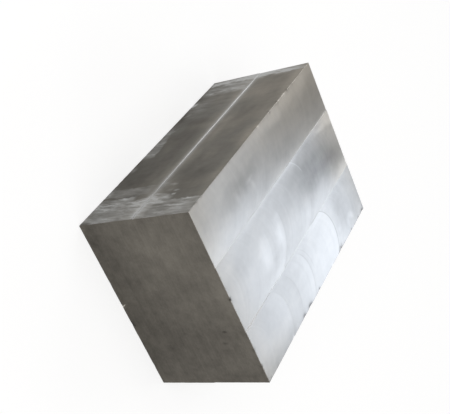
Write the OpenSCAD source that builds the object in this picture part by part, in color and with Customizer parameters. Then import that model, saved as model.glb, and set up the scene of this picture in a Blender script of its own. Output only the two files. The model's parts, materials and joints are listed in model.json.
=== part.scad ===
// Milled metal block: a piece of very thick plate, sawn to length at both ends and face-milled on its
// top and on both long sides. It lies flat on its base.
// X runs along the length, Y across the width and Z up. The origin is the middle of the base.
// The near end is at -X, and the front side is at +Y.

/* [Block] */
// Length between the sawn ends
block_length = 310; // [150:5:600]
// Width across the two milled sides
block_width = 200; // [100:5:400]
// Height from the base to the highest pass on the top
block_height = 130; // [80:5:250]
// Width of the filed bevel along the four long edges
edge_bevel = 0.5; // [0.2:0.1:2]

/* [Milling passes] */
// Diameter of the face mill
cutter_diameter = 80; // [50:1:125]
// Strip that two neighbouring passes share
pass_overlap = 5; // [1:1:20]
// Width of the first pass on the top, from the front edge
top_first_pass = 61; // [20:1:90]
// Width of the first pass on each side, from its top edge
side_first_pass = 65; // [20:1:70]
// Height of the ledge between two passes
ledge_height = 0.4; // [0.3:0.1:1]
// Slope of the ledge, which is the cutter's lead angle
ledge_angle = 45; // [30:5:75]

/* [Tool stops] */
// Places along the second pass on the top where the cutter stopped, from the near end
second_pass_stops = [130, 208]; // [10:1:300]
// Places along the third pass on the top where the cutter stopped, from the near end
third_pass_stops = [80, 108, 147, 227]; // [10:1:300]
// Depth that the cutter sinks at each stop
stop_depth = 0.05; // [0.02:0.01:0.07]

/* [Hidden] */
$fn = 180;

steel_colour = [0.60, 0.60, 0.59];
cutter_radius = cutter_diameter / 2;
pass_pitch = cutter_diameter - pass_overlap;
ledge_run = ledge_height / tan(ledge_angle);

// Distance across a face, from the edge where milling starts, to the foot of each ledge.
function ledges(face_width, first_pass) =
    [for (foot = first_pass; foot + ledge_run + edge_bevel < face_width; foot = foot + pass_pitch) foot];
top_ledges = ledges(block_width, top_first_pass);
side_ledges = ledges(block_height, side_first_pass);

// The first pass is the deepest, and each later one stands a ledge higher.
function pass_level(pass) = pass * ledge_height;
top_rise = pass_level(len(top_ledges));
side_rise = pass_level(len(side_ledges));
first_pass_z = block_height - top_rise;
first_pass_y = block_width / 2 - side_rise;

// Line of a stepped face, as [distance across the face, height above its first pass].
function stepped_line(feet, face_width) = [
    [edge_bevel, 0],
    for (i = [0 : 1 : len(feet) - 1]) each [
        [feet[i], pass_level(i)],
        [feet[i] + ledge_run, pass_level(i + 1)]
    ],
    [face_width - edge_bevel, pass_level(len(feet))]
];
function reversed(list) = [for (i = [len(list) - 1 : -1 : 0]) list[i]];

// A side runs down from its top edge, where it is set back to its first pass, to the base. The
// front side and the back side mirror each other, though the back's top edge is the higher one.
function side_line(top_z) = [
    for (p = stepped_line(side_ledges + [for (foot = side_ledges) top_z - block_height], top_z))
        [first_pass_y + p[1], top_z - p[0]]
];
function top_line() = [
    for (p = stepped_line(top_ledges, 2 * first_pass_y))
        [first_pass_y - p[0], first_pass_z + p[1]]
];
section_outline = concat(
    side_line(first_pass_z),
    [[block_width / 2 - edge_bevel, 0], [edge_bevel - block_width / 2, 0]],
    reversed([for (p = side_line(block_height)) [-p[0], p[1]]]),
    reversed(top_line())
);

// The block before the tool stops: its section, drawn along the length.
module milled_bar() {
    rotate([90, 0, 90])
        linear_extrude(height = block_length, center = true)
            polygon(section_outline);
}

// Plan of the strip that one pass cleared before the cutter stopped, ending in the cutter's arc.
module stopped_strip(pass, stop) {
    near_end = -block_length / 2;
    cutter_x = near_end + stop - cutter_radius;
    cutter_y = first_pass_y - top_first_pass + cutter_radius - pass * pass_pitch;
    strip_start = near_end - cutter_diameter;
    pass_foot = first_pass_y - top_ledges[pass - 1] - ledge_run;
    pass_width = (pass < len(top_ledges) ? pass_pitch : block_width) - ledge_run;
    intersection() {
        union() {
            translate([cutter_x, cutter_y])
                circle(r = cutter_radius);
            translate([strip_start, cutter_y - cutter_radius])
                square([cutter_x - strip_start, cutter_diameter]);
        }
        translate([strip_start, pass_foot - pass_width])
            square([block_length + 2 * cutter_diameter, pass_width]);
    }
}

// Each earlier stop lies inside the strip of the next one, so the strips step down to the near end.
module tool_stops(pass, stops) {
    for (i = [0 : len(stops) - 1])
        translate([0, 0, first_pass_z + pass_level(pass) - (len(stops) - i) * stop_depth])
            linear_extrude(height = len(stops) * stop_depth + ledge_height)
                stopped_strip(pass, stops[i]);
}

module metal_block() {
    color(steel_colour)
        difference() {
            milled_bar();
            if (len(top_ledges) > 0) tool_stops(1, second_pass_stops);
            if (len(top_ledges) > 1) tool_stops(2, third_pass_stops);
        }
}

metal_block();
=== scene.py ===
"""Looks of a milled steel block: thick plate, sawn at both ends and face-milled on its top and both sides.

Places on the block are in millimetres: along is measured from the near sawn end, across from the front
top edge, and up from the base. Meshes are written in metres.
"""
from __future__ import annotations

import json
import logging
import math
import random
from collections.abc import Iterator, Sequence
from dataclasses import dataclass, field
from enum import Enum
from functools import reduce

import bpy
from mathutils import Matrix, Vector, noise

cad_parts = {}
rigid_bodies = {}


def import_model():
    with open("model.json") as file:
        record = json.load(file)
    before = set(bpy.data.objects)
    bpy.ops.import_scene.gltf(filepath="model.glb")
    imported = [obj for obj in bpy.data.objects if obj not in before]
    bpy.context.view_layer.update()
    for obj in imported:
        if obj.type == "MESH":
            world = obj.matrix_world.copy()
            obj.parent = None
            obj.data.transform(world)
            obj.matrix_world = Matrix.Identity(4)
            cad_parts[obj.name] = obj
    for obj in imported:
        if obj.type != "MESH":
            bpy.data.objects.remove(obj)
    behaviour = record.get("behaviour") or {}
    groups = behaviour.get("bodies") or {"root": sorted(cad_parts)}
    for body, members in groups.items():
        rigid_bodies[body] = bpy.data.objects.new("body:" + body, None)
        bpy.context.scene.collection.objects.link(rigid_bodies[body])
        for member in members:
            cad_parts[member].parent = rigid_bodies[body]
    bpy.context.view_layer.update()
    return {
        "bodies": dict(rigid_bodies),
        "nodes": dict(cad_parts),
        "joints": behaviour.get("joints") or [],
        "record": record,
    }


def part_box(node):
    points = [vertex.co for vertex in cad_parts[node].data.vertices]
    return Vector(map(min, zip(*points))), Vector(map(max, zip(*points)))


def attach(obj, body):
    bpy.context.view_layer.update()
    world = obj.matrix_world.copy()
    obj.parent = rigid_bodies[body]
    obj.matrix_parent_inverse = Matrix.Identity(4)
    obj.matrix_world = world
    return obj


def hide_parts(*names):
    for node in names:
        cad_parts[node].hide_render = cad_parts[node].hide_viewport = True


LOG = logging.getLogger("milled_block")
MM = 0.001
BLOCK_NODE = "metal_block"
KNOCK_TONE_ATTRIBUTE = "knock_shade_and_wear"
LEAST_LIGHT = 0.12

Socket = bpy.types.NodeSocket
Value = float | Socket
Pair = tuple[float, float]
Triple = tuple[float, float, float]
Colour = Triple


def clamp(value: float, low: float = 0.0, high: float = 1.0) -> float:
    """Keeps a value between two limits."""
    return max(low, min(high, value))


def ease(value: float) -> float:
    """Smooth step from 0 to 1 as the value goes from 0 to 1."""
    share = clamp(value)
    return share * share * (3.0 - 2.0 * share)


def mix(first: float, second: float, share: float) -> float:
    """Blend from the first value to the second."""
    return first + (second - first) * share


def placed(name: str, data: bpy.types.ID) -> bpy.types.Object:
    """Makes an object and puts it in the scene.

    Args:
        name: the object's name.
        data: its mesh, lamp or camera.

    Returns:
        The object.
    """
    made = bpy.data.objects.new(name, data)
    bpy.context.scene.collection.objects.link(made)
    return made


class BlockFace(Enum):
    """The six faces of the block: the axis that each looks along, and its sign."""

    TOP = (2, 1)
    BASE = (2, -1)
    FRONT = (1, 1)
    BACK = (1, -1)
    NEAR = (0, -1)
    FAR = (0, 1)

    @property
    def axes(self) -> tuple[int, int]:
        """The two axes that lie in the face."""
        first, second = [axis for axis in range(3) if axis != self.value[0]]
        return first, second


class EdgeRun(Enum):
    """The edges of the block: signs along X, Y and Z, with 0 for the way the edge runs."""

    TOP_FRONT = (0, 1, 1)
    TOP_BACK = (0, -1, 1)
    TOP_NEAR = (-1, 0, 1)
    TOP_FAR = (1, 0, 1)
    BASE_FRONT = (0, 1, -1)
    BASE_BACK = (0, -1, -1)
    BASE_NEAR = (-1, 0, -1)
    BASE_FAR = (1, 0, -1)
    NEAR_FRONT = (-1, 1, 0)
    NEAR_BACK = (-1, -1, 0)
    FAR_FRONT = (1, 1, 0)
    FAR_BACK = (1, -1, 0)


class PatchShape(Enum):
    """Outline of a soft patch."""

    OVAL = "oval"
    BOX = "box"


@dataclass(frozen=True)
class SoftPatch:
    """A soft-edged patch on a face where the metal looks lighter or darker.

    Attributes:
        middle: the two distances on the face to its middle, in mm.
        reach: half its length and half its width, in mm.
        tone: change of brightness at its middle, as a share.
        turn: angle of its length, in degrees.
        core: share of its reach that has the full tone.
        shape: its outline.
        band: the milling pass that it stays inside, counted from the front, or None.
    """

    middle: Pair
    reach: Pair
    tone: float
    turn: float = 0.0
    core: float = 0.0
    shape: PatchShape = PatchShape.OVAL
    band: int | None = None


@dataclass(frozen=True)
class Mottle:
    """One layer of cloudy or streaky variation.

    Attributes:
        size: size of its clouds in the two directions, in mm.
        strength: the change that it makes, from its least to its most.
        detail: octaves of finer clouds on the main ones.
    """

    size: Pair
    strength: float
    detail: float = 3.0


@dataclass(frozen=True)
class Mottling:
    """Layers of variation that add up.

    Attributes:
        layers: the layers.
        shift: added to the finish's seed, so that each set has a pattern of its own.
        step: added to the seed from one layer to the next.
    """

    layers: tuple[Mottle, ...]
    shift: float = 0.0
    step: float = 3.7


@dataclass(frozen=True)
class Waver:
    """Unevenness of the outlines of what is drawn on a face.

    Attributes:
        reach: how far an outline strays, in mm.
        size: size of its waves, in mm.
        shift: added to the finish's seed.
    """

    reach: float
    size: float
    shift: float


@dataclass(frozen=True)
class Fade:
    """A smooth change along one distance.

    Attributes:
        start: where it starts, in mm.
        end: where it is complete, in mm; it may lie before the start.
        amount: its full amount.
    """

    start: float
    end: float
    amount: float = 1.0


@dataclass(frozen=True)
class EdgeMark:
    """A small knock on an edge.

    Attributes:
        place: distance along the edge, from the middle of the block, in mm.
        length: length of the knock along the edge, in mm.
        depth: extra radius that the knock wears the edge to, in mm.
        tone: below 0, painted darker as the shade in the knock; above 0, bright bare metal.
    """

    place: float
    length: float
    depth: float
    tone: float


@dataclass(frozen=True)
class RaggedStretch:
    """A stretch of edge with many small knocks.

    Attributes:
        run: the edge that has it.
        start: where it starts along the edge, from the middle of the block, in mm.
        end: where it ends.
        count: how many knocks it has.
        seed: picks one scatter.
        lengths: shortest and longest knock, in mm.
        depths: least and most extra radius, in mm.
        tones: darkest and lightest knock.
    """

    run: EdgeRun
    start: float
    end: float
    count: int
    seed: int
    lengths: Pair = (2.6, 5.0)
    depths: Pair = (0.15, 0.55)
    tones: Pair = (-0.8, 0.35)

    def knocks(self) -> list[EdgeMark]:
        """Scatters the knocks.

        Returns:
            The knocks, the same ones each time.
        """
        pick = random.Random(self.seed)
        ranges = ((self.start, self.end), self.lengths, self.depths, self.tones)
        return [EdgeMark(*[pick.uniform(*limits) for limits in ranges]) for _ in range(self.count)]


@dataclass(frozen=True)
class Dent:
    """A small dent in the near end.

    Attributes:
        across: distance from the front, in mm.
        up: height, in mm.
        reach: half its width and half its height, in mm.
        depth: its depth, in mm.
        tone: how much darker it is painted, as a share.
    """

    across: float
    up: float
    reach: Pair
    depth: float
    tone: float

    def patch(self) -> SoftPatch:
        """The darker patch painted over the dent."""
        return SoftPatch((self.across, self.up), self.reach, self.tone)

    def sink(self, across: float, up: float) -> float:
        """Depth of the dent at a place on the end."""
        off = ((across - self.across) / self.reach[0]) ** 2 + ((up - self.up) / self.reach[1]) ** 2
        return self.depth * math.exp(-2.0 * off)


@dataclass(frozen=True)
class ToolStop:
    """A place where the face mill paused in its pass and left its arc.

    Attributes:
        front: the furthest point of the arc, from the near end, in mm.
        reach: how far back from the arc the strip of painted sheen reaches, in mm.
        fill: how much brighter the strip is painted just inside the arc, a painted sheen.
        line: painted tone of the arc's own line: above 0 a painted highlight, below 0 a painted dark line.
        span: distances across from the cutter's centre line between which it shows, in mm.
        cut: True if the stop is deep enough to show as a step.
    """

    front: float
    reach: float
    fill: float
    line: float
    span: Pair = (-60.0, 60.0)
    cut: bool = True


@dataclass(frozen=True)
class LedgeGlow:
    """Painted highlight along the ledge beside a pass on the top, and painted tone of the ledge's slope.

    Attributes:
        stretch: where along the block its painted highlight starts to show and where it shows fully, in mm.
        glow: how much brighter the painted highlight is.
        half_width: half the width of the painted highlight, in mm.
        slopes: painted change of tone of the slope itself, standing in for its reflection, at the start and
            at the end of the stretch.
    """

    stretch: Pair
    glow: float
    half_width: float
    slopes: Pair


@dataclass(frozen=True)
class BlockPlan:
    """Sizes of the block and of its milling passes, in mm."""

    length: float
    width: float
    height: float
    ledge_height: float = 0.4
    ledge_run: float = 0.4
    cutter_radius: float = 40.0
    pass_pitch: float = 75.0
    top_first_pass: float = 61.0
    side_first_pass: float = 65.0
    stop_depth: float = 0.05
    stop_softness: float = 3.0
    arc_share: float = 0.96
    top_passes: int = 3

    @classmethod
    def from_frame(cls, node: str) -> BlockPlan:
        """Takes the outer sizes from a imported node."""
        low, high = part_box(node)
        return cls(*[round(size / MM, 3) for size in high - low])

    @property
    def half(self) -> Vector:
        """Half the length, width and height."""
        return Vector((self.length, self.width, self.height)) / 2.0

    @property
    def near_x(self) -> float:
        """X of the near sawn end."""
        return -self.length / 2.0

    @property
    def front_y(self) -> float:
        """Y of the front top edge, which is set back by one ledge."""
        return self.width / 2.0 - self.ledge_height

    @property
    def top_feet(self) -> tuple[float, ...]:
        """Distances across the top to the foot of each ledge."""
        return tuple(self.top_first_pass + i * self.pass_pitch for i in range(self.top_passes - 1))

    @property
    def top_middles(self) -> tuple[float, ...]:
        """Distances across the top to the middle of each ledge."""
        return tuple(foot + self.ledge_run / 2.0 for foot in self.top_feet)

    @property
    def side_foot(self) -> float:
        """Height of the lower end of the ledge on each side."""
        return self.height - self.side_first_pass - self.ledge_run

    @property
    def side_middle(self) -> float:
        """Height of the middle of the ledge on each side."""
        return self.side_foot + self.ledge_run / 2.0

    @property
    def arc_floor(self) -> float:
        """Least square of an arc's depth, which keeps arcs from closing up at the edge of a pass."""
        return self.cutter_radius ** 2 * (1.0 - self.arc_share ** 2)

    def cutter_line(self, number: int) -> float:
        """Distance across the top to the line that the cutter's centre follows in a pass."""
        return self.top_first_pass - self.cutter_radius + number * self.pass_pitch


def soft_patches(
    *rows: tuple[float, ...], shape: PatchShape = PatchShape.OVAL, band: int | None = None
) -> tuple[SoftPatch, ...]:
    """Makes soft patches of one kind.

    Args:
        rows: for each patch its middle (two distances), its reach (two) and its tone, and then its turn
            and its core where it has them.
        shape: their outline.
        band: the milling pass that they stay inside, counted from the front, or None.

    Returns:
        The patches.
    """
    return tuple(SoftPatch(row[:2], row[2:4], *row[4:], shape=shape, band=band) for row in rows)


# Tool stops of the second and third passes; their fill and line paint sheen and lines along the arcs.
SECOND_PASS_STOPS = (
    ToolStop(front=22.0, reach=18.0, fill=0.04, line=-0.02, span=(-16.0, 24.0), cut=False),
    ToolStop(front=94.0, reach=28.0, fill=0.06, line=0.0, span=(-14.0, 28.0), cut=False),
    ToolStop(front=130.0, reach=30.0, fill=0.13, line=0.05, span=(-16.0, 44.0)),
    ToolStop(front=208.0, reach=30.0, fill=0.02, line=0.20, span=(-46.0, -10.0)),
    ToolStop(front=206.5, reach=30.0, fill=0.06, line=-0.03, span=(12.0, 46.0), cut=False),
)
THIRD_PASS_STOPS = (
    ToolStop(front=30.0, reach=26.0, fill=0.04, line=-0.02, cut=False),
    ToolStop(front=80.0, reach=40.0, fill=0.06, line=-0.03, span=(-34.0, 26.0)),
    ToolStop(front=108.0, reach=28.0, fill=-0.05, line=-0.03, span=(-34.0, 20.0)),
    ToolStop(front=147.0, reach=38.0, fill=0.06, line=-0.14, span=(-32.0, 30.0)),
    ToolStop(front=154.0, reach=20.0, fill=0.01, line=-0.07, span=(-40.0, 6.0), cut=False),
    ToolStop(front=227.0, reach=84.0, fill=0.12, line=-0.26),
)
TOP_STOPS = ((), SECOND_PASS_STOPS, THIRD_PASS_STOPS)
# Painted highlight along each ledge on the top, and painted tone of its slope.
TOP_LEDGES = (
    LedgeGlow(stretch=(10.0, 170.0), glow=0.16, half_width=4.2, slopes=(0.32, -0.42)),
    LedgeGlow(stretch=(15.0, 105.0), glow=0.03, half_width=2.6, slopes=(0.80, 0.05)),
)

# Painted reflections on the top: soft lighter and darker patches over each milling pass.
TOP_REFLECTION_PATCHES = soft_patches(
    (8, 56, 112, 26, 0.36),
    (5, 34, 36, 16, 0.10),
    (76, 58, 44, 9, 0.06),
    (215, 36, 160, 34, -0.20, 0, 0.2),
    (90, 27, 64, 20, -0.27),
    (165, 46, 70, 18, -0.07),
    (235, 3, 150, 15, 0.25, 0, 0.2),
    (260, 16, 28, 11, 0.12),
    (76, 3, 92, 9, 0.08),
    (305, 38, 46, 36, -0.13),
    (278, 57, 70, 10, -0.10),
    (107, 38, 5, 16, 0.11, -8),
    (107, 33, 15, 4, 0.11, 8),
    (75, 36, 6, 11, 0.10, -20),
    band=0,
) + soft_patches(
    (252, 97, 112, 31, -0.38, 13, 0.15),
    (284, 112, 52, 22, -0.20, 8),
    (164, 90, 62, 30, -0.18),
    (222, 78, 34, 20, -0.08),
    (210, 108, 56, 22, -0.24, 6),
    (286, 126, 74, 15, -0.20),
    (312, 69, 64, 14, 0.50, 9, 0.2),
    (274, 69, 28, 7, 0.22, 9),
    (56, 110, 80, 40, 0.14),
    (80, 105, 18, 22, 0.15),
    (117, 107, 14, 20, 0.16),
    (97, 119, 9, 7, -0.08),
    (20, 66, 95, 26, 0.15),
    (82, 134, 56, 9, 0.14),
    (78, 62, 56, 8, 0.13),
    (180, 64, 60, 9, 0.10),
    (256, 65, 30, 8, 0.16, 6),
    band=1,
) + soft_patches(
    (330, 172, 96, 70, -0.34, 0, 0.1),
    (251, 162, 30, 46, -0.19),
    (286, 192, 52, 24, -0.07),
    (20, 206, 105, 34, -0.30),
    (80, 198, 70, 18, -0.10),
    (165, 174, 52, 40, 0.08),
    (195, 140, 42, 4, 0.06),
    (274, 183, 15, 6, 0.15, 22),
    (262, 186, 5, 9, 0.10, 20),
    (300, 190, 8, 6, 0.10),
    (236, 177, 7, 5, 0.08, 30),
    (284, 145, 18, 8, -0.06, 30),
    band=2,
)
FRONT_HAZE = soft_patches(
    (12, 98, 17, 37, 0.38, 0, 0.88),
    (14, 30, 19, 38, 0.40, 0, 0.92),
    (37, 22, 6.5, 26, 0.44, 0, 0.75),
    (53, 26, 9, 35, 0.22, 0, 0.78),
    (146, 2, 25, 14, 0.38, -6, 0.75),
    (287, 33, 22, 36, 0.42, 0, 0.7),
    (306, 66, 11, 80, 0.84, 0, 0.45),
    shape=PatchShape.BOX,
) + soft_patches(
    (33, 77, 11, 21, 0.54, 20, 0.4),
    (22, 67, 36, 13, 0.36),
    (17, 104, 1.7, 17, 0.40, 4),
    (26, 113, 1.9, 13, 0.46, 4),
    (31, 77, 4, 17, 0.40, 20),
    (21, 100, 2.5, 11, -0.28, 4),
    (9, 75, 4, 5, -0.26, 20),
    (38, 91, 2.7, 3.4, 0.52, 0, 0.3),
    (46, 91, 2.2, 3.8, 0.44, 0, 0.3),
    (47.5, 82, 2.4, 6, 0.22),
    (58, 80, 3, 9, 0.34, 8),
    (61, 71, 9, 6, 0.22),
    (47, 65, 13, 12, 0.22),
    (22, 50, 13, 17, 0.22),
    (33, 55, 5, 13, 0.60, -6, 0.4),
    (13, 28, 7.5, 18, -0.14, 0, 0.4),
    (24.5, 21, 2.8, 19, 0.28, 12),
    (40, 32, 2.6, 12, 0.26, 8),
    (45.5, 11, 2, 13, -0.40, 8),
    (53, 3, 9, 8, 0.46),
    (62, 3, 9, 9, 0.26),
    (34, 2, 14, 7, 0.20),
    (1, 6, 5, 13, -0.40),
    (18, 65, 24, 5, 0.30),
    (178, 4, 19, 8, 0.30, 0, 0.4),
    (185, 11, 6, 3, 0.32, 30),
    (102, 4, 9, 6, 0.32),
    (222, 9, 6, 3.5, 0.42, 40),
    (249, 3, 13, 6, 0.80, 15),
    (274, 14, 5, 4, 0.40, 40),
    (214, 65, 28, 5, 0.30),
    (234, 36, 38, 42, 0.09, 0, 0.5),
    (240, 14, 34, 20, 0.16, 0, 0.3),
    (190, 12, 26, 16, 0.12, 0, 0.3),
    (282, 42, 10, 24, 0.14),
    (293, 14, 6, 14, -0.32),
    (300, 68, 16, 22, 0.40),
    (299, 104, 10, 32, 0.30),
)
# Painted reflection shading on the front side: soft darker and lighter patches.
FRONT_PAINTED_SHADING = soft_patches(
    (75, 100, 40, 30, -0.14),
    (94, 80, 40, 15, -0.24),
    (70, 30, 10, 14, -0.10),
    (85, 24, 34, 26, -0.10),
    (198, 26, 14, 40, -0.14),
    (213, 5, 14, 7, -0.18),
    (205, 124, 16, 7, -0.16),
    (282, 124, 36, 13, 0.20),
    (115, 124, 46, 9, 0.12),
)
BACK_HAZE = soft_patches(
    (6, 62, 14, 70, 0.24, 0, 0.7),
    (278, 30, 26, 38, 0.18, 0, 0.6),
    (304, 60, 9, 74, 0.28, 0, 0.5),
    shape=PatchShape.BOX,
) + soft_patches(
    (24, 26, 16, 30, 0.18, 0, 0.6),
    (96, 5, 30, 12, 0.24, 6, 0.4),
    (142, 3, 16, 6, 0.20),
    (212, 119, 24, 8, 0.14, -5),
)
# Painted reflection shading on the back side, made in the same way.
BACK_PAINTED_SHADING = soft_patches(
    (180, 40, 60, 24, -0.14),
    (120, 100, 50, 24, -0.12),
    (252, 96, 34, 26, 0.12),
)
NEAR_DENTS = (
    Dent(135.0, 106.0, (2.6, 4.2), 0.45, -0.45),
    Dent(149.0, 101.0, (2.4, 5.5), 0.35, -0.30),
)
NEAR_PATCHES = soft_patches(
    (36, 84, 70, 62, 0.20),
    (92, 126, 48, 18, 0.26),
    (91, 110, 8, 34, 0.14),
    (32, 64, 12, 18, 0.16),
    (148, 66, 50, 46, -0.16),
    (196, 90, 26, 60, -0.14),
    (110, 14, 140, 36, -0.10, 0, 0.3),
    (180, 42, 46, 18, -0.14),
    (136, 40, 50, 16, -0.12),
    (150, 107, 36, 14, -0.10),
    (96, 8, 18, 12, 0.09),
    (22, 8, 28, 12, -0.10),
    (96.5, 2.8, 0.9, 3.8, 2.8, 32, 0.2),
)
FAR_PATCHES = soft_patches(
    (140, 80, 70, 50, 0.18),
    (52, 34, 60, 40, -0.12),
    (118, 50, 10, 30, 0.12),
    (70, 120, 40, 16, 0.16),
)

# For each edge its knocks, with their place, length, depth and tone; a tone below 0 is painted shade in the
# knock, above 0 bright bare metal.
KNOCKS = {
    EdgeRun.TOP_BACK: (
        (-55, 8, 1.0, -1.0),
        (-37, 11, 1.2, -1.0),
        (-8, 5, 0.8, -0.9),
        (69, 12, 1.4, -1.3),
        (107, 5, 0.7, -0.7),
        (149, 9, 1.3, -1.0),
    ),
    EdgeRun.TOP_FRONT: ((3, 6, 0.6, 0.5), (34, 6, 0.8, -0.5), (57, 9, 0.8, -0.4), (76, 8, 0.5, 0.4)),
    EdgeRun.TOP_NEAR: ((2, 5, 0.9, -0.9),),
    EdgeRun.BASE_NEAR: ((2, 4, 0.5, 1.5),),
    EdgeRun.BASE_FRONT: ((-82, 5, 0.6, 0.5),),
    EdgeRun.BASE_BACK: ((44, 7, 0.9, -0.7),),
    EdgeRun.TOP_FAR: ((-31, 5, 0.8, 0.4),),
    EdgeRun.FAR_BACK: ((20, 5, 0.8, -0.6),),
    EdgeRun.BASE_FAR: ((57, 6, 0.8, 0.4),),
}
# Stretches of small knocks; their dark tones are painted shade, their light ones bright bare metal.
RAGGED_STRETCHES = (
    RaggedStretch(EdgeRun.TOP_FRONT, -15.0, 105.0, 16, 3, tones=(-0.5, 0.4)),
    RaggedStretch(EdgeRun.TOP_FRONT, -150.0, -20.0, 6, 11, depths=(0.1, 0.3), tones=(-0.3, 0.2)),
    RaggedStretch(EdgeRun.TOP_BACK, -150.0, 150.0, 16, 5),
    RaggedStretch(EdgeRun.TOP_NEAR, -95.0, 95.0, 8, 8),
    RaggedStretch(EdgeRun.TOP_FAR, -95.0, 95.0, 10, 9),
    RaggedStretch(EdgeRun.BASE_FRONT, -150.0, 150.0, 12, 13),
    RaggedStretch(EdgeRun.BASE_BACK, -150.0, 150.0, 12, 17),
    RaggedStretch(EdgeRun.BASE_NEAR, -95.0, 95.0, 8, 19),
    RaggedStretch(EdgeRun.BASE_FAR, -95.0, 95.0, 8, 23),
)


class ShaderSketch:
    """Short calls for drawing the node tree of one material."""

    def __init__(self, name: str) -> None:
        """Starts an empty material with an output and a principled shader.

        Args:
            name: the material's name.
        """
        self.material = bpy.data.materials.new(name)
        self.material.use_nodes = True
        self.tree = self.material.node_tree
        self.tree.nodes.clear()
        self.output = self.node("OutputMaterial")
        self.shader = self.node("BsdfPrincipled")
        self.link(self.shader.outputs[0], self.output.inputs[0])

    def link(self, start: Socket, end: Socket) -> None:
        """Joins two sockets."""
        self.tree.links.new(start, end)

    def feed(self, end: Socket, value: Value | Triple) -> None:
        """Sets a socket to a constant, or joins another socket to it.

        Args:
            end: the input socket.
            value: a number, a colour or other triple, or the socket to join.
        """
        if isinstance(value, bpy.types.NodeSocket):
            self.link(value, end)
        elif isinstance(value, tuple) and end.type == "RGBA":
            end.default_value = (*value, 1.0)
        else:
            end.default_value = value

    def node(self, kind: str, *values: Value | Triple, **settings: str | bool) -> bpy.types.Node:
        """Adds one node.

        Args:
            kind: Blender's name of the node, without its prefix.
            values: what its inputs are fed with, in order.
            settings: the node's own settings.

        Returns:
            The node.
        """
        node = self.tree.nodes.new("ShaderNode" + kind)
        for name, setting in settings.items():
            setattr(node, name, setting)
        for end, value in zip(node.inputs, values):
            self.feed(end, value)
        return node

    def math(self, operation: str, *values: Value, limit: bool = False) -> Socket:
        """Result of an operation, kept between 0 and 1 if there is a limit."""
        return self.node("Math", *values, operation=operation, use_clamp=limit).outputs[0]

    def add(self, *values: Value) -> Value:
        """Sum of the values."""
        return reduce(lambda total, value: self.math("ADD", total, value), values)

    def times(self, *values: Value) -> Value:
        """Product of the values."""
        return reduce(lambda total, value: self.math("MULTIPLY", total, value), values)

    def less(self, first: Value, second: Value) -> Socket:
        """First value less the second."""
        return self.math("SUBTRACT", first, second)

    def ramp(self, value: Value, low: float, high: float, start: float = 0.0, end: float = 1.0) -> Socket:
        """Smooth change from start to end as a value goes from low to high, which may lie below low."""
        return self.node("MapRange", value, low, high, start, end, interpolation_type="SMOOTHSTEP").outputs[0]

    def fade(self, value: Value, fade: Fade, origin: float = 0.0) -> Socket:
        """A fade along a distance that is counted from an origin."""
        return self.ramp(value, origin + fade.start, origin + fade.end, 0.0, fade.amount)

    def hump(self, value: Value, centre: float, half_width: float) -> Socket:
        """Smooth bump of height 1 about a centre, 0 past its half width."""
        distance = self.math("ABSOLUTE", self.less(value, centre))
        return self.ramp(distance, half_width, 0.0)

    def stripe(self, value: Value, centre: float, width: float) -> Socket:
        """Flat-topped stripe of height 1 about a centre, with a thin soft border."""
        distance = self.math("ABSOLUTE", self.less(value, centre))
        return self.ramp(distance, 0.75 * width, 0.5 * width)

    def vector(self, x: Value, y: Value, z: Value = 0.0) -> Socket:
        """Joins three values into a vector."""
        return self.node("CombineXYZ", x, y, z).outputs[0]

    def parts(self, vector: Socket) -> Sequence[Socket]:
        """The three values of a vector."""
        return self.node("SeparateXYZ", vector).outputs

    def vector_math(self, operation: str, *values: Socket | Triple) -> bpy.types.Node:
        """One operation on vectors."""
        return self.node("VectorMath", *values, operation=operation)

    def cloud(self, first: Value, second: Value, layer: Mottle, seed: float) -> bpy.types.Node:
        """Cloudy noise between 0 and 1, with the sizes and the detail of one layer."""
        scaled = [self.times(value, 1.0 / size) for value, size in zip((first, second), layer.size)]
        return self.node("TexNoise", self.vector(*scaled, seed), 0.0, 1.0, layer.detail)

    def blend(self, first: Socket | Colour, second: Socket | Colour, share: Value) -> Socket:
        """Blend of two colours.

        Args:
            first: colour at share 0.
            second: colour at share 1.
            share: the share of the second colour.

        Returns:
            The blended colour's socket.
        """
        node = self.node("Mix", share, data_type="RGBA")
        colours = [end for end in node.inputs if end.type == "RGBA"]
        self.feed(colours[0], first)
        self.feed(colours[1], second)
        return next(end for end in node.outputs if end.type == "RGBA")

    def scale_colour(self, colour: Socket | Colour, factor: Value) -> Socket:
        """Colour made lighter or darker by a factor."""
        node = self.vector_math("SCALE", colour)
        self.feed(node.inputs["Scale"], factor)
        return node.outputs[0]

    def patch_share(self, place: Socket, patch: SoftPatch) -> Socket:
        """Share of a soft patch at a place.

        Args:
            place: the place on the face.
            patch: the patch.

        Returns:
            The share, from 0 outside the patch to 1 in its core.
        """
        turn = (0.0, 0.0, math.radians(patch.turn))
        frame = ((*patch.middle, 0.0), turn, (*patch.reach, 1.0))
        inside = self.node("Mapping", place, *frame, vector_type="TEXTURE").outputs[0]
        if patch.shape is PatchShape.OVAL:
            distance = self.vector_math("LENGTH", inside).outputs["Value"]
        else:
            first, second, _ = self.parts(self.vector_math("ABSOLUTE", inside).outputs[0])
            distance = self.math("MAXIMUM", first, second)
        return self.ramp(distance, 1.0, patch.core)

    def patches(self, place: Socket, patches: Sequence[SoftPatch], bands: Sequence[Socket] = ()) -> Value:
        """Change of tone from a set of soft patches.

        Args:
            place: the place on the face.
            patches: the patches.
            bands: share of each milling pass at the place.

        Returns:
            The summed change, as a share.
        """
        total: Value = 0.0
        for patch in patches:
            share = self.times(self.patch_share(place, patch), patch.tone)
            if patch.band is not None:
                share = self.times(share, bands[patch.band])
            total = self.add(total, share)
        return total

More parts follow.
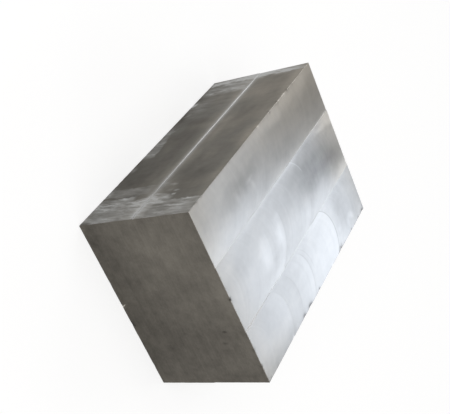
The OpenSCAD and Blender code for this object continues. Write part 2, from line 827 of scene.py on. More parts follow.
    def with_knock_tones(self, light: Value, strength: float) -> Socket:
        """Brightness with the tone of the knocks, which the mesh carries: painted shade in the dark knocks
        and bright bare metal in the others, kept above a dark limit.
        """
        tone = self.node("Attribute", attribute_name=KNOCK_TONE_ATTRIBUTE).outputs["Fac"]
        return self.math("MAXIMUM", self.add(light, self.times(tone, strength)), LEAST_LIGHT)

    def bump(self, height: Socket, distance: float) -> None:
        """Relief on the shader's normal.

        Args:
            height: the relief's height, where 1 stands for the distance.
            distance: height of the relief, in mm.
        """
        node = self.node("Bump", 1.0, distance * MM)
        self.link(height, node.inputs["Height"])
        self.link(node.outputs[0], self.shader.inputs["Normal"])

    def metal(self, colour: Socket, roughness: Socket) -> None:
        """Makes the shader a metal of this colour and roughness."""
        self.shader.inputs["Metallic"].default_value = 1.0
        self.link(colour, self.shader.inputs["Base Color"])
        self.link(roughness, self.shader.inputs["Roughness"])


class FaceSketch(ShaderSketch):
    """Node tree of the finish on one face of the block.

    Attributes:
        plan: the block's sizes.
        seed: picks the finish's patterns.
        along: distance of the shaded point from the near end, in mm.
        across: its distance from the front top edge.
        up: its height above the base.
    """

    def __init__(self, name: str, seed: float, plan: BlockPlan) -> None:
        """Starts the material and finds the place of the shaded point on the block.

        Args:
            name: the material's name.
            seed: picks the finish's patterns.
            plan: the block's sizes.
        """
        super().__init__(name)
        self.plan = plan
        self.seed = seed
        x, y, z = self.parts(self.node("TexCoord").outputs["Object"])
        self.along = self.math("MULTIPLY_ADD", x, 1.0 / MM, -plan.near_x)
        self.across = self.math("MULTIPLY_ADD", y, -1.0 / MM, plan.front_y)
        self.up = self.times(z, 1.0 / MM)

    def mottled(self, first: Socket, second: Socket, mottling: Mottling) -> Value:
        """Sum of layers of mottling.

        Args:
            first: first distance on the face, in mm.
            second: second distance on the face, in mm.
            mottling: the layers.

        Returns:
            The change of tone, about 0.
        """
        total: Value = 0.0
        for number, layer in enumerate(mottling.layers):
            seed = self.seed + mottling.shift + mottling.step * number
            cloud = self.cloud(first, second, layer, seed).outputs[0]
            total = self.add(total, self.times(self.less(cloud, 0.5), layer.strength))
        return total

    def wavering(self, first: Socket, second: Socket, waver: Waver) -> Socket:
        """Place on a face, pushed to and fro so that what is drawn there has uneven edges.

        Args:
            first: first distance on the face, in mm.
            second: second distance on the face, in mm.
            waver: how far and how finely the place is pushed.

        Returns:
            The place as a vector.
        """
        waves = Mottle((waver.size, waver.size), 2.0 * waver.reach)
        push = self.cloud(first, second, waves, self.seed + waver.shift).outputs["Color"]
        least = self.vector(self.less(first, waver.reach), self.less(second, waver.reach))
        reach = (waves.strength, waves.strength, 0.0)
        return self.vector_math("MULTIPLY_ADD", push, reach, least).outputs[0]

    def cutter_front(self, offset: Socket) -> Socket:
        """Front of the cutter's arc through the shaded point: how far the mill had come when it cut there.

        Args:
            offset: the point's distance from the line of the cutter's centre.

        Returns:
            The distance from the near end to the front of the arc.
        """
        radius = self.plan.cutter_radius
        depth = self.less(radius ** 2, self.times(offset, offset))
        inside = self.math("MAXIMUM", depth, self.plan.arc_floor)
        return self.less(self.add(self.along, radius), self.math("SQRT", inside))


@dataclass(frozen=True)
class Finish:
    """Look of one face of the block.

    Attributes:
        name: the material's name.
        seed: picks its patterns.
    """

    name: str
    seed: float

    def draw(self, sketch: FaceSketch) -> None:
        """Draws the look in a node tree."""
        raise NotImplementedError

    def build(self, plan: BlockPlan) -> bpy.types.Material:
        """Makes the material.

        Args:
            plan: the block's sizes.

        Returns:
            The material.
        """
        sketch = FaceSketch(self.name, self.seed, plan)
        self.draw(sketch)
        return sketch.material


@dataclass(frozen=True)
class MilledTop(Finish):
    """Bright face-milled finish of the top: three passes, with the arcs where the cutter paused, under
    painted reflections: soft patches, sheen along the arcs and highlights along the ledges.
    """

    name: str = "milled_top"
    seed: float = 1.7
    cool: Colour = (0.568, 0.588, 0.614)
    warm: Colour = (0.612, 0.594, 0.560)
    roughness: float = 0.31
    roughness_play: float = 0.1
    knock_shade_and_wear: float = 0.85
    feed_pitch: float = 1.8
    feed_share: float = 0.25
    relief: float = 0.01
    clouds: Mottling = Mottling((
        Mottle((46.0, 30.0), 0.20, 2.0),
        Mottle((17.0, 12.0), 0.14, 2.0),
        Mottle((7.0, 6.0), 0.08, 1.0),
    ))
    arcs: Mottling = Mottling((Mottle((7.0, 60.0), 0.10, 1.0), Mottle((3.0, 40.0), 0.05, 0.0)))
    waver: Waver = Waver(7.0, 26.0, 1.4)
    stops: tuple[tuple[ToolStop, ...], ...] = TOP_STOPS
    ledges: tuple[LedgeGlow, ...] = TOP_LEDGES
    patches: tuple[SoftPatch, ...] = TOP_REFLECTION_PATCHES
    line_half_width: float = 1.5
    line_fade: float = 8.0
    strip_edge: float = 0.8
    highlight_shift: float = 0.6
    front_warmth: Fade = Fade(62.0, 0.0, 0.50)
    end_warmth: Fade = Fade(45.0, 0.0, 0.30)
    pass_warmths: tuple[Fade, ...] = (
        Fade(60.0, 310.0, 0.60),
        Fade(235.0, 300.0, 0.75),
        Fade(250.0, 310.0, 0.30),
    )
    corner_warmths: tuple[Fade, Fade] = (Fade(120.0, 10.0), Fade(150.0, 195.0, 0.35))
    cloud_warmth: float = 1.5

    def pass_tone(
        self, sketch: FaceSketch, front: Socket, offset: Socket, stops: Sequence[ToolStop]
    ) -> Value:
        """Painted tone along one pass: each stop has a strip of painted sheen that brightens towards its arc,
        and a thin painted line on the arc.

        Args:
            sketch: the material's node tree.
            front: the front of the cutter's arc through the point.
            offset: distance from the line of the cutter's centre.
            stops: the tool stops of the pass.

        Returns:
            The change of tone, as a share.
        """
        tone: Value = 0.0
        for stop in stops:
            start, end = stop.span
            strip = sketch.times(
                sketch.ramp(front, stop.front - stop.reach, stop.front),
                sketch.ramp(front, stop.front + self.strip_edge, stop.front - self.strip_edge),
                stop.fill,
            )
            line = sketch.times(sketch.hump(front, stop.front, self.line_half_width), stop.line)
            window = sketch.times(
                sketch.ramp(offset, start, start + self.line_fade),
                sketch.ramp(offset, end, end - self.line_fade),
            )
            tone = sketch.add(tone, sketch.times(sketch.add(strip, line), window))
        return tone

    def ledge_tone(self, sketch: FaceSketch) -> Value:
        """Painted tone of the two ledges: a painted highlight along each, and painted light and shade on its
        slope.

        Args:
            sketch: the material's node tree.

        Returns:
            The change of tone, as a share.
        """
        tone: Value = 0.0
        for middle, ledge in zip(sketch.plan.top_middles, self.ledges):
            ledge_highlight = sketch.times(
                sketch.hump(sketch.across, middle + self.highlight_shift, ledge.half_width),
                sketch.ramp(sketch.along, *ledge.stretch),
                ledge.glow,
            )
            slope = sketch.times(
                sketch.stripe(sketch.across, middle, sketch.plan.ledge_run),
                sketch.ramp(sketch.along, *ledge.stretch, *ledge.slopes),
            )
            tone = sketch.add(tone, ledge_highlight, slope)
        return tone

    def draw(self, sketch: FaceSketch) -> None:
        """Draws the look.

        Args:
            sketch: the material's node tree.
        """
        plan, along, across = sketch.plan, sketch.along, sketch.across
        steps = [sketch.ramp(across, foot, foot + plan.ledge_run) for foot in plan.top_feet]
        bands = [sketch.less(1.0, steps[0]), sketch.less(steps[0], steps[1]), steps[1]]
        number = sketch.add(*[sketch.math("GREATER_THAN", across, middle) for middle in plan.top_middles])
        centre = sketch.math("MULTIPLY_ADD", number, plan.pass_pitch, plan.cutter_line(0))
        offset = sketch.less(across, centre)
        front = sketch.cutter_front(offset)
        # The passes lie far apart in the pattern of arcs, so no two look alike.
        lane = sketch.math("MULTIPLY_ADD", number, 2.0 * plan.length, front)

        clouds = sketch.mottled(along, across, self.clouds)
        arcs = sketch.mottled(lane, offset, self.arcs)
        feed = sketch.math("SINE", sketch.times(front, 2.0 * math.pi / self.feed_pitch))
        place = sketch.wavering(along, across, self.waver)
        # The soft patches are painted reflections; the stops and ledges add painted sheen and painted
        # highlights.
        light = sketch.add(
            1.0,
            sketch.patches(place, self.patches, bands),
            *[
                sketch.times(band, self.pass_tone(sketch, front, offset, stops))
                for band, stops in zip(bands, self.stops)
            ],
            self.ledge_tone(sketch),
            clouds,
            arcs,
        )
        warmth = sketch.add(
            sketch.fade(across, self.front_warmth),
            sketch.fade(along, self.end_warmth),
            *[sketch.times(band, sketch.fade(along, fade)) for band, fade in zip(bands, self.pass_warmths)],
            sketch.times(bands[2], *map(sketch.fade, (along, across), self.corner_warmths)),
            sketch.times(clouds, self.cloud_warmth),
        )
        sketch.metal(
            sketch.scale_colour(sketch.blend(self.cool, self.warm, warmth), sketch.with_knock_tones(light, self.knock_shade_and_wear)),
            sketch.add(self.roughness, sketch.times(sketch.add(clouds, arcs), self.roughness_play)),
        )
        sketch.bump(sketch.add(sketch.times(feed, self.feed_share), arcs), self.relief)


@dataclass(frozen=True)
class MilledSide(Finish):
    """Duller face-milled finish of a side: two passes, with a torn grey haze in places; it is darker than the
    top partly as painted shade, standing in for the dark surroundings that it reflects.
    """

    haze_patches: tuple[SoftPatch, ...]
    painted_shading_patches: tuple[SoftPatch, ...]
    dark: Colour = (0.326, 0.313, 0.285)
    warm: Colour = (0.46, 0.428, 0.378)
    haze: Colour = (0.89, 0.905, 0.915)
    roughness: float = 0.38
    haze_roughness: float = 0.16
    streak_roughness: float = 0.4
    streak_relief: float = 5.0
    relief: float = 0.02
    clouds: Mottling = Mottling((
        Mottle((60.0, 36.0), 0.55, 4.0),
        Mottle((20.0, 18.0), 0.34),
        Mottle((7.0, 10.0), 0.24),
    ), shift=3.0)
    streaks: Mottling = Mottling((Mottle((3.0, 60.0), 0.20, 4.0), Mottle((0.9, 7.0), 0.22)))
    stains: Mottling = Mottling((Mottle((40.0, 30.0), 2.4),), shift=8.0)
    tears: Mottling = Mottling((
        Mottle((11.0, 50.0), 2.2, 5.0),
        Mottle((4.6, 20.0), 2.6, 4.0),
        Mottle((2.2, 9.0), 1.4, 2.0),
    ), shift=9.0)
    least_torn: float = 0.15
    tear_rim: Mottle = Mottle((12.0, 55.0), 0.45, 5.0)
    rim_half_width: float = 0.03
    rim_shift: float = 20.0
    waver: Waver = Waver(3.0, 8.0, 2.0)
    lean: float = 0.13
    warm_fade: Fade = Fade(40.0, 300.0)
    warm_heights: Pair = (30.0, 125.0)
    warm_shares: Pair = (0.25, 1.0)
    base_light: float = 0.80
    upper_gain: float = 0.10
    top_fades: tuple[Fade, ...] = (Fade(-18.0, 0.0, 0.24), Fade(-2.6, -1.2, -0.12))
    ledge_fades: tuple[Fade, Fade] = (Fade(24.0, 0.0, 0.30), Fade(-24.0, 0.0, 0.44))
    ledge_half_widths: Pair = (8.0, 3.8)
    ledge_glows: Pair = (0.32, 0.44)
    highlight_stretch: Pair = (10.0, 110.0)
    highlight_shares: Pair = (0.6, 1.0)
    highlight_play: Mottling = Mottling((Mottle((26.0, 90.0), 1.4),), shift=6.0)
    slope_stretch: Pair = (30.0, 210.0)
    slope_tones: Pair = (-0.50, -0.20)
    knock_shade_and_wear: float = 0.8

    def ground(self, sketch: FaceSketch, place: Socket) -> Socket:
        """Colour of the bare milled metal, browner towards the far top corner, with painted reflection
        shading over it.

        Args:
            sketch: the material's node tree.
            place: the place on the side, pushed to and fro.

        Returns:
            The colour's socket.
        """
        plan, along, up = sketch.plan, sketch.along, sketch.up
        foot = plan.side_foot
        upper = sketch.ramp(up, foot, foot + plan.ledge_run)
        passes = (upper, sketch.less(1.0, upper))
        warmth = sketch.add(
            sketch.times(
                sketch.fade(along, self.warm_fade),
                sketch.ramp(up, *self.warm_heights, *self.warm_shares),
            ),
            sketch.mottled(along, up, self.stains),
        )
        # Painted reflection shading: the upper pass lighter, lighter towards the top edge with a thin darker
        # band at the edge itself, lighter towards the ledge from both sides, and the soft shading patches.
        light = sketch.add(
            self.base_light,
            sketch.times(upper, self.upper_gain),
            sketch.patches(place, self.painted_shading_patches),
            *[sketch.fade(up, fade, plan.height) for fade in self.top_fades],
            *[
                sketch.times(sketch.fade(up, fade, foot), share)
                for fade, share in zip(self.ledge_fades, passes)
            ],
            sketch.mottled(along, up, self.clouds),
        )
        return sketch.scale_colour(sketch.blend(self.dark, self.warm, warmth), light)

    def haze_share(self, sketch: FaceSketch, grain: Socket, place: Socket) -> Socket:
        """Share of the haze: soft patches, torn into leaning streaks with bright rims.

        Args:
            sketch: the material's node tree.
            grain: distance from the near end, leaning with the streaks.
            place: the place on the side, pushed to and fro.

        Returns:
            The share's socket.
        """
        edge = sketch.cloud(grain, sketch.up, self.tear_rim, self.seed + self.rim_shift).outputs[0]
        torn = sketch.add(
            1.0,
            sketch.mottled(grain, sketch.up, self.tears),
            sketch.times(sketch.hump(edge, 0.5, self.rim_half_width), self.tear_rim.strength),
        )
        spread = sketch.patches(place, self.haze_patches)
        return sketch.math("MULTIPLY", spread, sketch.math("MAXIMUM", torn, self.least_torn), limit=True)

    def draw(self, sketch: FaceSketch) -> None:
        """Draws the look.

        Args:
            sketch: the material's node tree.
        """
        plan, along, up = sketch.plan, sketch.along, sketch.up
        place = sketch.wavering(along, up, self.waver)
        grain = sketch.math("MULTIPLY_ADD", up, self.lean, along)
        streaks = sketch.mottled(grain, up, self.streaks)
        share = self.haze_share(sketch, grain, place)
        hazed = sketch.blend(self.ground(sketch, place), self.haze, share)
        # Painted highlight along the ledge, drawn in the haze colour, and painted shade on the ledge's slope.
        ledge_highlight = sketch.times(
            sketch.add(*[
                sketch.times(sketch.hump(up, plan.side_middle, half_width), glow)
                for half_width, glow in zip(self.ledge_half_widths, self.ledge_glows)
            ]),
            sketch.add(
                sketch.ramp(along, *self.highlight_stretch, *self.highlight_shares),
                sketch.mottled(along, up, self.highlight_play),
            ),
        )
        slope = sketch.times(
            sketch.stripe(up, plan.side_middle, plan.ledge_run),
            sketch.ramp(along, *self.slope_stretch, *self.slope_tones),
        )
        light = sketch.with_knock_tones(sketch.add(1.0, streaks, slope), self.knock_shade_and_wear)
        sketch.metal(
            sketch.scale_colour(sketch.blend(hazed, self.haze, ledge_highlight), light),
            sketch.add(
                self.roughness,
                sketch.times(share, self.haze_roughness),
                sketch.times(streaks, self.streak_roughness),
            ),
        )
        sketch.bump(sketch.times(streaks, self.streak_relief), self.relief)


@dataclass(frozen=True)
class SawnEnd(Finish):
    """Dull finish of a sawn end: mottled metal with faint lines left by the band saw."""

    patches: tuple[SoftPatch, ...]
    tint: Colour = (0.316, 0.298, 0.267)
    roughness: float = 0.50
    cloud_roughness: float = 0.3
    base_light: float = 0.94
    knock_shade_and_wear: float = 0.8
    line_relief: float = 4.0
    relief: float = 0.05
    clouds: Mottling = Mottling((
        Mottle((24.0, 34.0), 0.40, 4.0),
        Mottle((13.0, 11.0), 0.42),
        Mottle((6.0, 5.0), 0.34),
        Mottle((2.4, 1.4), 0.34),
    ))
    lines: Mottling = Mottling((Mottle((180.0, 2.4), 0.22, 4.0), Mottle((160.0, 9.0), 0.14, 2.0)), shift=2.0)
    waver: Waver = Waver(1.2, 9.0, 1.0)

    def draw(self, sketch: FaceSketch) -> None:
        """Draws the look.

        Args:
            sketch: the material's node tree.
        """
        across, up = sketch.across, sketch.up
        clouds = sketch.mottled(across, up, self.clouds)
        lines = sketch.mottled(across, up, self.lines)
        place = sketch.wavering(across, up, self.waver)
        light = sketch.add(self.base_light, sketch.patches(place, self.patches), clouds, lines)
        sketch.metal(
            sketch.scale_colour(self.tint, sketch.with_knock_tones(light, self.knock_shade_and_wear)),
            sketch.add(self.roughness, sketch.times(clouds, self.cloud_roughness)),
        )
        sketch.bump(sketch.add(sketch.times(lines, self.line_relief), clouds), self.relief)


@dataclass(frozen=True)
class PlateBase(Finish):
    """Plain finish of the base, which keeps the ground skin of the plate."""

    name: str = "plate_base"
    seed: float = 61.0
    tint: Colour = (0.250, 0.240, 0.225)
    roughness: float = 0.48
    line_roughness: float = 0.3
    knock_shade_and_wear: float = 0.8
    line_relief: float = 2.0
    relief: float = 0.03
    clouds: Mottling = Mottling((Mottle((40.0, 30.0), 0.6, 4.0), Mottle((9.0, 8.0), 0.3)))
    lines: Mottling = Mottling((Mottle((160.0, 1.5), 0.5),), shift=9.0)

    def draw(self, sketch: FaceSketch) -> None:
        """Draws the look.

        Args:
            sketch: the material's node tree.
        """
        along, across = sketch.along, sketch.across
        clouds = sketch.mottled(along, across, self.clouds)
        lines = sketch.mottled(along, across, self.lines)
        light = sketch.with_knock_tones(sketch.add(1.0, clouds, lines), self.knock_shade_and_wear)
        sketch.metal(
            sketch.scale_colour(self.tint, light),
            sketch.add(self.roughness, sketch.times(lines, self.line_roughness)),
        )
        sketch.bump(sketch.times(lines, self.line_relief), self.relief)


@dataclass
class SteelBlock:
    """The block: one closed mesh with its ledges, tool stops, saw marks and edges rounded and knocked in use.

    Lengths are in mm.

    Attributes:
        pitches: spacing of the mesh's even rows along, across and up.
        edge_rows: distances of the close rows from each edge.
        ledge_rows: distances of the close rows from the foot of a ledge, as shares of its run.
        base_step: rows that a mesh face spans in the middle of the base.
        edge_radius: radius that the edges are worn to.
        radius_play: how much that radius varies, in waves of wobble_length.
        corner_fade: distance from a corner within which an edge returns to its plain radius.
        knock_share: half width of a knock, as a share of its length.
        knock_reach: distance from an edge within which its knocks show.
        knock_tone_fade: how far the tone of a knock reaches, besides knock_tone_spread times its length.
        knock_tone_play: how uneven that tone is.
        knock_tone_grain: fineness of that unevenness, per mm.
        saw_size: length and spacing of the saw marks.
        saw_shares: shares of the saw marks and of the broad waves in the relief.
        drop_start: height up to which the passes on the top move nothing.
        marks: the knocks on each edge.
    """

    plan: BlockPlan
    name: str = "steel_block"
    pitches: Triple = (1.6, 1.8, 1.8)
    edge_rows: tuple[float, ...] = (0.0, 0.12, 0.26, 0.42, 0.65, 1.0, 1.6)
    ledge_rows: tuple[float, ...] = (-1.0, -0.25, 0.0, 1.0, 1.25, 2.0)
    base_step: int = 6
    edge_radius: float = 0.55
    radius_play: float = 0.16
    wobble_length: float = 9.0
    wobble_seeds: Pair = (3.0, 5.0)
    corner_fade: float = 8.0
    knock_share: float = 0.42
    knock_reach: float = 10.0
    knock_tone_fade: float = 1.2
    knock_tone_spread: float = 0.24
    knock_tone_play: float = 1.2
    knock_tone_grain: float = 0.45
    saw_depth: float = 0.10
    saw_size: Pair = (130.0, 6.5)
    saw_lean: float = 0.02
    saw_shares: Pair = (0.4, 0.35)
    wave_size: Pair = (90.0, 45.0)
    saw_seeds: Pair = (5.0, 11.0)
    sharp_angle: float = 30.0
    drop_start: float = 70.0
    map_gap: float = 6.0
    base_map_scale: float = 0.6
    marks: dict[tuple[int, ...], list[EdgeMark]] = field(init=False)

    def __post_init__(self) -> None:
        """Sorts the knocks by the edge that has them."""
        self.marks = {run.value: [EdgeMark(*row) for row in KNOCKS.get(run, ())] for run in EdgeRun}
        for stretch in RAGGED_STRETCHES:
            self.marks[stretch.run.value] += stretch.knocks()

    def rows(self, low: float, high: float, pitch: float, ledges: Sequence[float] = ()) -> list[float]:
        """Places of the mesh's rows between two faces: close at the edges and ledges, even between.

        Args:
            low: place of the first row.
            high: place of the last row.
            pitch: spacing of the even rows.
            ledges: places where a ledge starts.

        Returns:
            The places, in rising order.
        """
        close = [low + row for row in self.edge_rows] + [high - row for row in self.edge_rows]
        for foot in ledges:
            close += [foot + share * self.plan.ledge_run for share in self.ledge_rows]
        inner_low, inner_high = low + self.edge_rows[-1] + pitch / 2, high - self.edge_rows[-1] - pitch / 2
        count = max(1, round((inner_high - inner_low) / pitch))
        even = [mix(inner_low, inner_high, i / count) for i in range(count + 1)]
        kept = [place for place in even if all(abs(place - other) > pitch / 2 for other in close)]
        return sorted(close + kept)

    def pass_drop(self, number: int, along: float, offset: float) -> float:
        """How far one pass on the top lies below the block's full height.

        Args:
            number: the pass, counted from the front.
            along: distance from the near end.
            offset: distance from the line of the cutter's centre.

        Returns:
            The drop in mm.
        """
        plan = self.plan
        inside = max(plan.cutter_radius ** 2 - offset ** 2, plan.arc_floor)
        front = along + plan.cutter_radius - math.sqrt(inside)
        drop = (plan.top_passes - 1 - number) * plan.ledge_height
        for stop in TOP_STOPS[number]:
            if stop.cut:
                drop += plan.stop_depth * ease((stop.front - front) / plan.stop_softness + 0.5)
        return drop

    def top_drop(self, along: float, across: float) -> float:
        """How far the top lies below the block's full height.

        Args:
            along: distance from the near end.
            across: distance from the front top edge.

        Returns:
            The drop in mm.
        """
        drop = self.pass_drop(0, along, across - self.plan.cutter_line(0))
        for number, foot in enumerate(self.plan.top_feet, start=1):
            share = clamp((across - foot) / self.plan.ledge_run)
            if share > 0.0:
                next_drop = self.pass_drop(number, along, across - self.plan.cutter_line(number))
                drop = mix(drop, next_drop, share)
        return drop

    def side_setback(self, up: float) -> float:
        """How far a side stands back from the block's full width at a height."""
        return self.plan.ledge_height * clamp((up - self.plan.side_foot) / self.plan.ledge_run)

    def end_relief(self, across: float, up: float, end: int) -> float:
        """Depth of the saw marks and dents on an end.

        Args:
            across: distance from the front.
            up: height.
            end: -1 for the near end and 1 for the far end.

        Returns:
            The depth in mm.
        """
        climb = up - self.saw_lean * across * end
        places = ((across, climb, self.saw_size), (across, up, self.wave_size))
        relief = 0.5
        for (first, second, size), seed, share in zip(places, self.saw_seeds, self.saw_shares):
            relief += share * noise.noise(Vector((first / size[0], second / size[1], seed * end)))
        relief = self.saw_depth * clamp(relief)
        if end < 0:
            relief += sum(dent.sink(across, up) for dent in NEAR_DENTS)
        return relief

    def edge_wear_and_shade(self, place: Vector) -> tuple[float, float]:
        """Radius of the nearest edge, and the tone of the knocks there: painted shade in the dark knocks,
        bright bare metal in the others.

        Args:
            place: place on the full box, from its middle.

        Returns:
            The radius in mm and the tone.
        """
        gaps = [self.plan.half[i] - abs(place[i]) for i in range(3)]
        way = max(range(3), key=lambda i: gaps[i])
        signs = tuple(0 if i == way else (1 if place[i] > 0 else -1) for i in range(3))
        fade = ease(gaps[way] / self.corner_fade)
        sides = [signs[(way + step) % 3] * seed for step, seed in enumerate(self.wobble_seeds, start=1)]
        wobble = noise.noise(Vector((place[way] / self.wobble_length, *sides)))
        radius = self.edge_radius + fade * self.radius_play * wobble
        tone = 0.0
        uneven = 1.0 + self.knock_tone_play * noise.noise(place * self.knock_tone_grain)
        reach = max(gap for i, gap in enumerate(gaps) if i != way)
        if reach < self.knock_reach:
            for mark in self.marks[signs]:
                share = math.exp(-((place[way] - mark.place) / (self.knock_share * mark.length)) ** 2)
                radius += fade * mark.depth * share
                tone_reach = self.knock_tone_fade + self.knock_tone_spread * mark.length
                tone += mark.tone * share * uneven * math.exp(-(reach / tone_reach) ** 2)
        return radius, tone

    def shaped(self, x: float, y: float, z: float) -> tuple[Vector, float]:
        """Moves one point of the full box to the finished surface.

        Args:
            x: place on the full box, along.
            y: place on the full box, across.
            z: place on the full box, up from the base.

        Returns:
            The point in metres and the tone of its wear.
        """
        plan = self.plan
        half = plan.half
        point = Vector((x, y, z - half.z))
        radius, tone = self.edge_wear_and_shade(point)
        core = Vector([clamp(point[i], radius - half[i], half[i] - radius) for i in range(3)])
        arm = point - core
        rounded = core + arm.normalized() * radius if arm.length > radius else point
        up = rounded.z + half.z
        along = rounded.x - plan.near_x
        across = plan.front_y - rounded.y * plan.front_y / half.y
        relief = self.end_relief(plan.front_y - y, z, 1 if x > 0 else -1)
        lift = clamp((up - self.drop_start) / (plan.height - self.drop_start))
        made = Vector((
            rounded.x * (1.0 - relief / half.x),
            rounded.y * (1.0 - self.side_setback(up) / half.y),
            up - self.top_drop(along, across) * lift,
        ))
        return made * MM, tone

    def rings(self, face: BlockFace, counts: Sequence[int]) -> Iterator[list[tuple[int, int]]]:
        """Rings of row numbers for the mesh faces on one face of the block.

        The base has small faces only along its edges: inside, each face spans several rows.

        Args:
            face: the face of the block.
            counts: number of row gaps along the face's two axes.

        Yields:
            The corners of one mesh face.
        """
        margin = len(self.edge_rows) if face is BlockFace.BASE else max(counts)
        ends = [count - margin for count in counts]
        for a in range(counts[0]):
            for b in range(counts[1]):
                if not (margin <= a < ends[0] and margin <= b < ends[1]):
                    yield [(a, b), (a + 1, b), (a + 1, b + 1), (a, b + 1)]

        def walk(start: int, end: int, border: int, at: int) -> Sequence[int]:
            """Row numbers from start up to end: all of them along the border, and else the first."""
            return range(start, end, 1 if end > start else -1) if at == border else (start,)

        lines = [[*range(margin, end, self.base_step), end] for end in ends]
        for a_low, a_high in zip(lines[0], lines[0][1:]):
            for b_low, b_high in zip(lines[1], lines[1][1:]):
                ring = [(a, b_low) for a in walk(a_low, a_high, margin, b_low)]
                ring += [(a_high, b) for b in walk(b_low, b_high, ends[0], a_high)]
                ring += [(a, b_high) for a in walk(a_high, a_low, ends[1], b_high)]
                ring += [(a_low, b) for b in walk(b_high, b_low, margin, a_low)]
                yield ring

    def map_places(self) -> dict[BlockFace, Triple]:
        """Lays the six faces out on the UV map: the long ones in one column, the others beside it.

        Returns:
            The corner of each face on the map, in mm, and its scale.
        """
        plan = self.plan
        sizes = (plan.length, plan.width, plan.height)
        columns = (
            (plan.length, (BlockFace.TOP, BlockFace.FRONT, BlockFace.BACK)),
            (plan.width, (BlockFace.NEAR, BlockFace.FAR, BlockFace.BASE)),
        )
        places = {}
        left = self.map_gap
        for width, faces in columns:
            low = self.map_gap
            for face in faces:
                scale = self.base_map_scale if face is BlockFace.BASE else 1.0
                places[face] = (left, low, scale)
                low += scale * sizes[face.axes[1]] + self.map_gap
            left += width + self.map_gap
        return places

    def build_mesh(self) -> bpy.types.Mesh:
        """Builds the closed mesh, with its face numbers, UV map and the tones of its knocks.

        Returns:
            The mesh.
        """
        plan = self.plan
        half = plan.half
        stretch = half.y / plan.front_y
        top_feet = [(plan.front_y - foot - plan.ledge_run) * stretch for foot in plan.top_feet]
        rows = (
            self.rows(-half.x, half.x, self.pitches[0]),
            self.rows(-half.y, half.y, self.pitches[1], top_feet),
            self.rows(0.0, plan.height, self.pitches[2], (plan.side_foot,)),
        )
        places = self.map_places()
        map_size = plan.length + plan.width + 3 * self.map_gap
        index: dict[tuple[int, ...], int] = {}
        points: list[Vector] = []
        tones: list[float] = []
        faces: list[list[int]] = []
        kinds: list[int] = []
        spots: list[float] = []
        for kind, face in enumerate(BlockFace):
            left, low, scale = places[face]
            way, sign = face.value
            first, second = face.axes
            for ring in self.rings(face, [len(rows[axis]) - 1 for axis in face.axes]):
                if (sign < 0) != (way == 1):
                    ring.reverse()
                corners = []
                for a, b in ring:
                    key = [len(rows[way]) - 1 if sign > 0 else 0] * 3
                    key[first], key[second] = a, b
                    place = tuple(key)
                    if place not in index:
                        index[place] = len(points)
                        point, tone = self.shaped(*[rows[axis][place[axis]] for axis in range(3)])
                        points.append(point)
                        tones.append(tone)
                    corners.append(index[place])
                    spots.append((left + scale * (rows[first][a] - rows[first][0])) / map_size)
                    spots.append((low + scale * (rows[second][b] - rows[second][0])) / map_size)
                faces.append(corners)
                kinds.append(kind)
        mesh = bpy.data.meshes.new(self.name)
        mesh.from_pydata(points, [], faces)
        mesh.polygons.foreach_set("material_index", kinds)
        mesh.polygons.foreach_set("use_smooth", [True] * len(faces))
        mesh.uv_layers.new(name="OFBake").data.foreach_set("uv", spots)
        mesh.attributes.new(KNOCK_TONE_ATTRIBUTE, "FLOAT", "POINT").data.foreach_set("value", tones)
        mesh.set_sharp_from_angle(angle=math.radians(self.sharp_angle))
        mesh.update()
        return mesh

    def build(self, finishes: dict[BlockFace, bpy.types.Material]) -> bpy.types.Object:
        """Builds the block and dresses it.

        Args:
            finishes: the material of each face.

        Returns:
            The finished piece.
        """
        mesh = self.build_mesh()
        for face in BlockFace:
            mesh.materials.append(finishes[face])
        block = placed(self.name, mesh)
        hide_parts(BLOCK_NODE)
        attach(block, "root")
        return block


@dataclass(frozen=True)
class PaleFloor:
    """Plain pale studio floor."""

    name: str = "pale_floor"
    half_size: float = 9.0
    shade: Colour = (0.915, 0.925, 0.945)
    bounce: Colour = (0.50, 0.50, 0.50)
    glow: float = 1.16
    glow_share: float = 0.60

    def build(self) -> bpy.types.Object:
        """Builds the floor, which looks pale to the camera and sends less light back to the block.

        Returns:
            The floor.
        """
        half = self.half_size
        mesh = bpy.data.meshes.new(self.name)
        ring = [(-half, -half, 0.0), (half, -half, 0.0), (half, half, 0.0), (-half, half, 0.0)]
        mesh.from_pydata(ring, [], [(0, 1, 2, 3)])
        sketch = ShaderSketch(self.name)
        sketch.tree.nodes.remove(sketch.shader)
        pale, bounce = [sketch.node("BsdfDiffuse", tint).outputs[0] for tint in (self.shade, self.bounce)]
        glow = sketch.node("Emission", (1.0, 1.0, 1.0), self.glow).outputs[0]
        seen = sketch.node("MixShader", self.glow_share, pale, glow).outputs[0]
        direct = sketch.node("LightPath").outputs["Is Camera Ray"]
        sketch.link(sketch.node("MixShader", direct, bounce, seen).outputs[0], sketch.output.inputs[0])
        mesh.materials.append(sketch.material)
        floor = placed(self.name, mesh)
        return floor


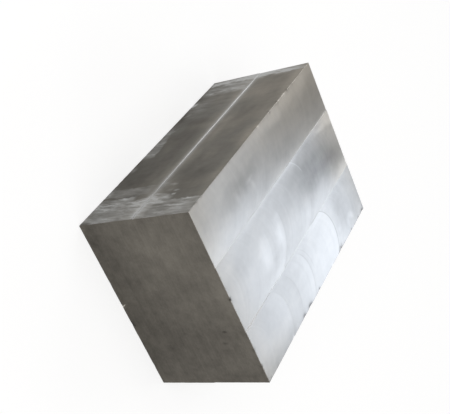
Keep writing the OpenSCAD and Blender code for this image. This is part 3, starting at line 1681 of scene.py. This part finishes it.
@dataclass(frozen=True)
class SoftBox:
    """A soft rectangular lamp that faces the block.

    Attributes:
        name: the lamp's name.
        azimuth: direction from the block, in degrees from +X towards +Y.
        elevation: height above the floor, in degrees.
        distance: distance from the block, in metres.
        size: width and height, in metres.
        glow: brightness of its face, where the floor's white is about 1.
        tint: colour of its light.
    """

    name: str
    azimuth: float
    elevation: float
    distance: float
    size: Pair
    glow: float
    tint: Colour = (1.0, 1.0, 1.0)

    def build(self) -> bpy.types.Object:
        """Makes the lamp and turns it to the block.

        Returns:
            The lamp.
        """
        turn, rise = math.radians(self.azimuth), math.radians(self.elevation)
        way = Vector((math.cos(turn) * math.cos(rise), math.sin(turn) * math.cos(rise), math.sin(rise)))
        lamp = bpy.data.lights.new(self.name, "AREA")
        lamp.shape = "RECTANGLE"
        lamp.size, lamp.size_y = self.size
        lamp.energy = self.glow * math.pi * self.size[0] * self.size[1]
        lamp.color = self.tint
        made = placed(self.name, lamp)
        made.location = way * self.distance
        made.rotation_mode = "QUATERNION"
        made.rotation_quaternion = way.to_track_quat("Z", "Y")
        return made


@dataclass(frozen=True)
class PhotoCamera:
    """Camera that stands where the photograph was taken, turned on its side as the photograph is."""

    name: str = "photo_camera"
    eye: Triple = (-696.57, 401.39, 570.0)
    aim: Triple = (-16.72, 22.82, 65.0)
    roll: float = 82.569
    lens: float = 69.584
    sensor: float = 36.0

    def build(self) -> bpy.types.Object:
        """Makes the camera and gives it to the scene.

        Returns:
            The camera.
        """
        data = bpy.data.cameras.new(self.name)
        data.sensor_fit = "HORIZONTAL"
        data.sensor_width = self.sensor
        data.lens = self.lens
        camera = placed(self.name, data)
        eye, aim = Vector(self.eye) * MM, Vector(self.aim) * MM
        turn = (aim - eye).to_track_quat("-Z", "Y").to_matrix()
        roll = Matrix.Rotation(math.radians(self.roll), 3, "Z")
        camera.matrix_world = Matrix.Translation(eye) @ (turn @ roll).to_4x4()
        bpy.context.scene.camera = camera
        return camera


@dataclass(frozen=True)
class Studio:
    """Floor, lamps and camera round the block."""

    floor: PaleFloor = PaleFloor()
    camera: PhotoCamera = PhotoCamera()
    surround: Colour = (0.385, 0.365, 0.335)
    lamps: tuple[SoftBox, ...] = (
        SoftBox("window_light", -37.0, 26.0, 3.2, (1.15, 1.0), 1.75, (0.90, 0.95, 1.02)),
        SoftBox("rim_light", 38.0, 26.0, 3.2, (1.3, 1.2), 1.9, (0.95, 0.98, 1.0)),
        SoftBox("top_light", 160.0, 78.0, 3.4, (3.4, 3.4), 1.5),
        SoftBox("back_light", 136.0, 25.0, 3.2, (1.5, 1.1), 1.5, (0.94, 0.97, 1.0)),
        SoftBox("end_light", 226.0, 25.0, 3.2, (1.5, 1.1), 1.4, (0.96, 0.98, 1.0)),
    )

    def build(self) -> None:
        """Builds the studio and sets plain colour management."""
        scene = bpy.context.scene
        scene.view_settings.view_transform = "Standard"
        world = bpy.data.worlds.new("surround")
        world.use_nodes = True
        backdrop = world.node_tree.nodes["Background"]
        backdrop.inputs["Color"].default_value = (*self.surround, 1.0)
        scene.world = world
        self.floor.build()
        for lamp in self.lamps:
            lamp.build()
        self.camera.build()


def main() -> None:
    """Builds the studio and the block, and logs the imported nodes and the block's points and triangles."""
    logging.basicConfig(level=logging.INFO, format="%(message)s")
    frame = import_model()
    LOG.info("frame: %s", ", ".join(frame["nodes"]))
    Studio().build()
    plan = BlockPlan.from_frame(BLOCK_NODE)
    dent_patches = tuple(dent.patch() for dent in NEAR_DENTS)
    finishes = {
        BlockFace.TOP: MilledTop().build(plan),
        BlockFace.BASE: PlateBase().build(plan),
        BlockFace.FRONT: MilledSide("milled_front", 2.0, FRONT_HAZE, FRONT_PAINTED_SHADING).build(plan),
        BlockFace.BACK: MilledSide("milled_back", 131.0, BACK_HAZE, BACK_PAINTED_SHADING, knock_shade_and_wear=0.35).build(plan),
        BlockFace.NEAR: SawnEnd("sawn_near_end", 5.0, NEAR_PATCHES + dent_patches).build(plan),
        BlockFace.FAR: SawnEnd("sawn_far_end", 47.0, FAR_PATCHES).build(plan),
    }
    block = SteelBlock(plan).build(finishes)
    triangles = sum(len(face.vertices) - 2 for face in block.data.polygons)
    LOG.info("%s: %d points, %d triangles", block.name, len(block.data.vertices), triangles)


if __name__ == "__main__":
    main()
